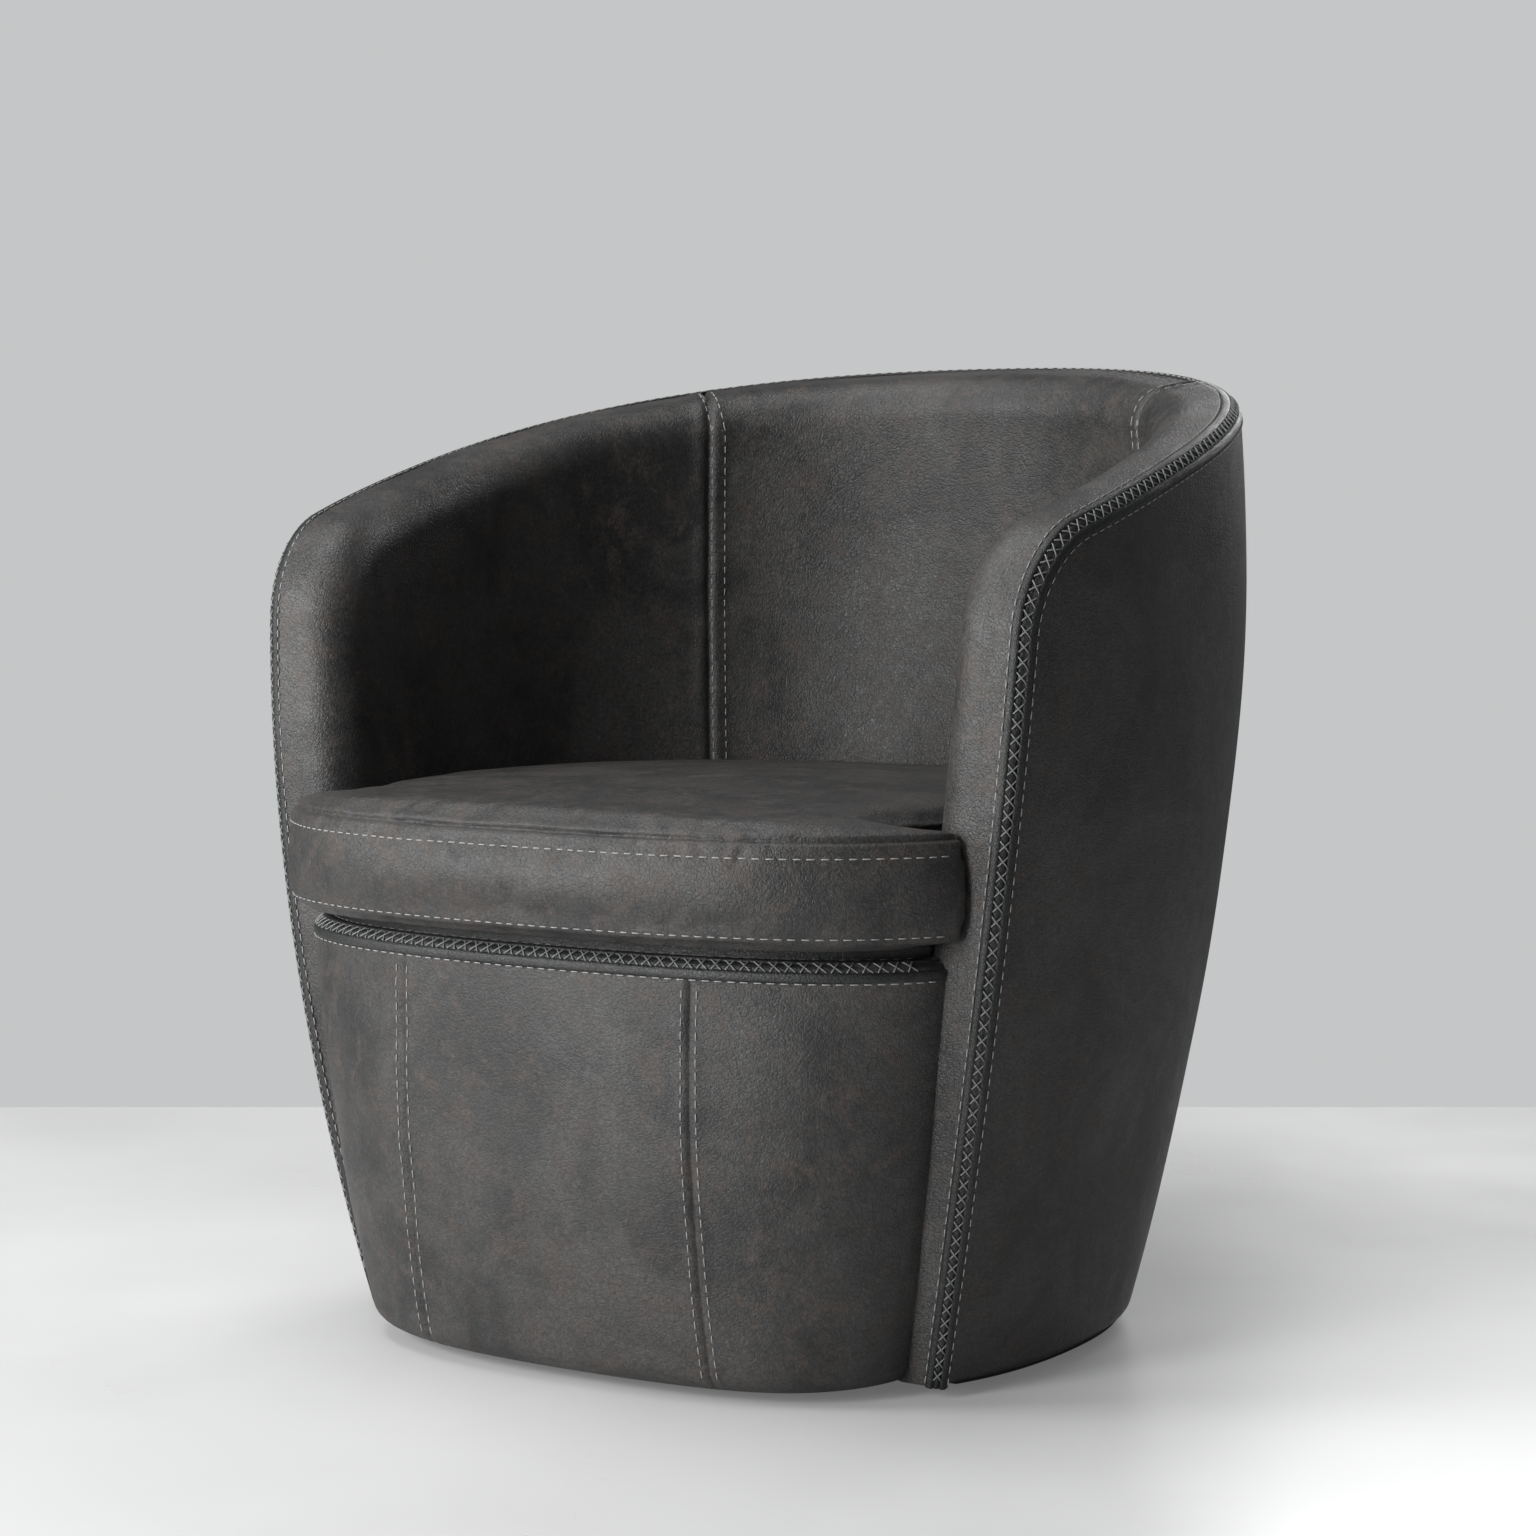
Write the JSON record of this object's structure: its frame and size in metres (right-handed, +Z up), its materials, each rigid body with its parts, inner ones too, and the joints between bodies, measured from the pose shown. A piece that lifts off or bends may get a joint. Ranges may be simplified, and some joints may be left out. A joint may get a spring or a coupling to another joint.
{
  "type": "swivel barrel chair",
  "caption": "Low barrel-back lounge chair in dark leather with laced edges, loose T-shaped seat cushion and a hidden swivel base",
  "frame": {"origin": "on the floor under the swivel axis, at the middle of the felt that the base rests on", "axes": "+Z up along the swivel axis, -Y towards the front of the chair, +X towards the sitter's left arm, which is on the right in a view from the front"},
  "size_m": [0.7684, 0.7862, 0.8064],
  "materials": {
    "base_wood": "satin",
    "binding_leather": "satin",
    "cover_leather": "satin",
    "cushion_leather": "satin",
    "dust_cover_cloth": "matt",
    "felt": "matt",
    "foam": "matt",
    "frame_wood": "matt",
    "nylon": "matt",
    "plate_steel": "satin",
    "webbing": "matt",
    "zinc_steel": "satin",
    "zip": "satin"
  },
  "bodies": {
    "floor_base_body": {"base_felt": "felt", "floor_base": "base_wood", "lower_swivel_plate": "plate_steel", "lower_plate_screws": "zinc_steel", "glide_ring": "nylon", "pivot_bolt": "zinc_steel", "pivot_washer": "zinc_steel", "pivot_nut": "zinc_steel"},
    "seat_body": {"arm_foot_block_left": "frame_wood", "arm_foot_block_right": "frame_wood", "arm_front_block_left": "frame_wood", "arm_front_block_right": "frame_wood", "back_post_left": "frame_wood", "back_post_right": "frame_wood", "bottom_board_front": "frame_wood", "bottom_rail_back": "frame_wood", "bottom_rail_side_left": "frame_wood", "bottom_rail_side_right": "frame_wood", "cross_rail_left": "frame_wood", "cross_rail_right": "frame_wood", "deck_border_cover": "cover_leather", "deck_pad": "foam", "dust_cover": "dust_cover_cloth", "front_cover_centre": "cover_leather", "front_cover_side_left": "cover_leather", "front_cover_side_right": "cover_leather", "front_post_left": "frame_wood", "front_post_right": "frame_wood", "front_studs": "frame_wood", "inside_pad_back": "cover_leather", "inside_pad_side_left": "cover_leather", "inside_pad_side_right": "cover_leather", "outside_cover_back": "cover_leather", "outside_cover_side_left": "cover_leather", "outside_cover_side_right": "cover_leather", "panel_binding_lower": "binding_leather", "panel_binding_upper": "binding_leather", "rim_binding_inner": "binding_leather", "rim_binding_outer": "binding_leather", "seat_board_front": "frame_wood", "seat_rail_back": "frame_wood", "seat_rail_front": "frame_wood", "seat_rail_side_left": "frame_wood", "seat_rail_side_right": "frame_wood", "seat_webbing_cross": "webbing", "seat_webbing_long": "webbing", "side_post_left": "frame_wood", "side_post_right": "frame_wood", "skirt_rail_back": "frame_wood", "skirt_rail_side_left": "frame_wood", "skirt_rail_side_right": "frame_wood", "top_rail_back": "frame_wood", "top_rail_side_left": "frame_wood", "top_rail_side_right": "frame_wood", "upper_plate_screws": "zinc_steel", "upper_swivel_plate": "plate_steel"},
    "cushion_body": {"cushion_zip": "zip", "seat_cushion": "cushion_leather"}
  },
  "joints": [
    {"name": "swivel", "type": "hinge", "parent": "floor_base_body", "child": "seat_body", "pos_m": [0, 0, 0.025], "axis": [0, 0, 1], "continuous": true},
    {"name": "cushion_lift", "type": "slide", "parent": "seat_body", "child": "cushion_body", "axis": [0, 0, 1], "range_m": [0, 0.25]}
  ]
}
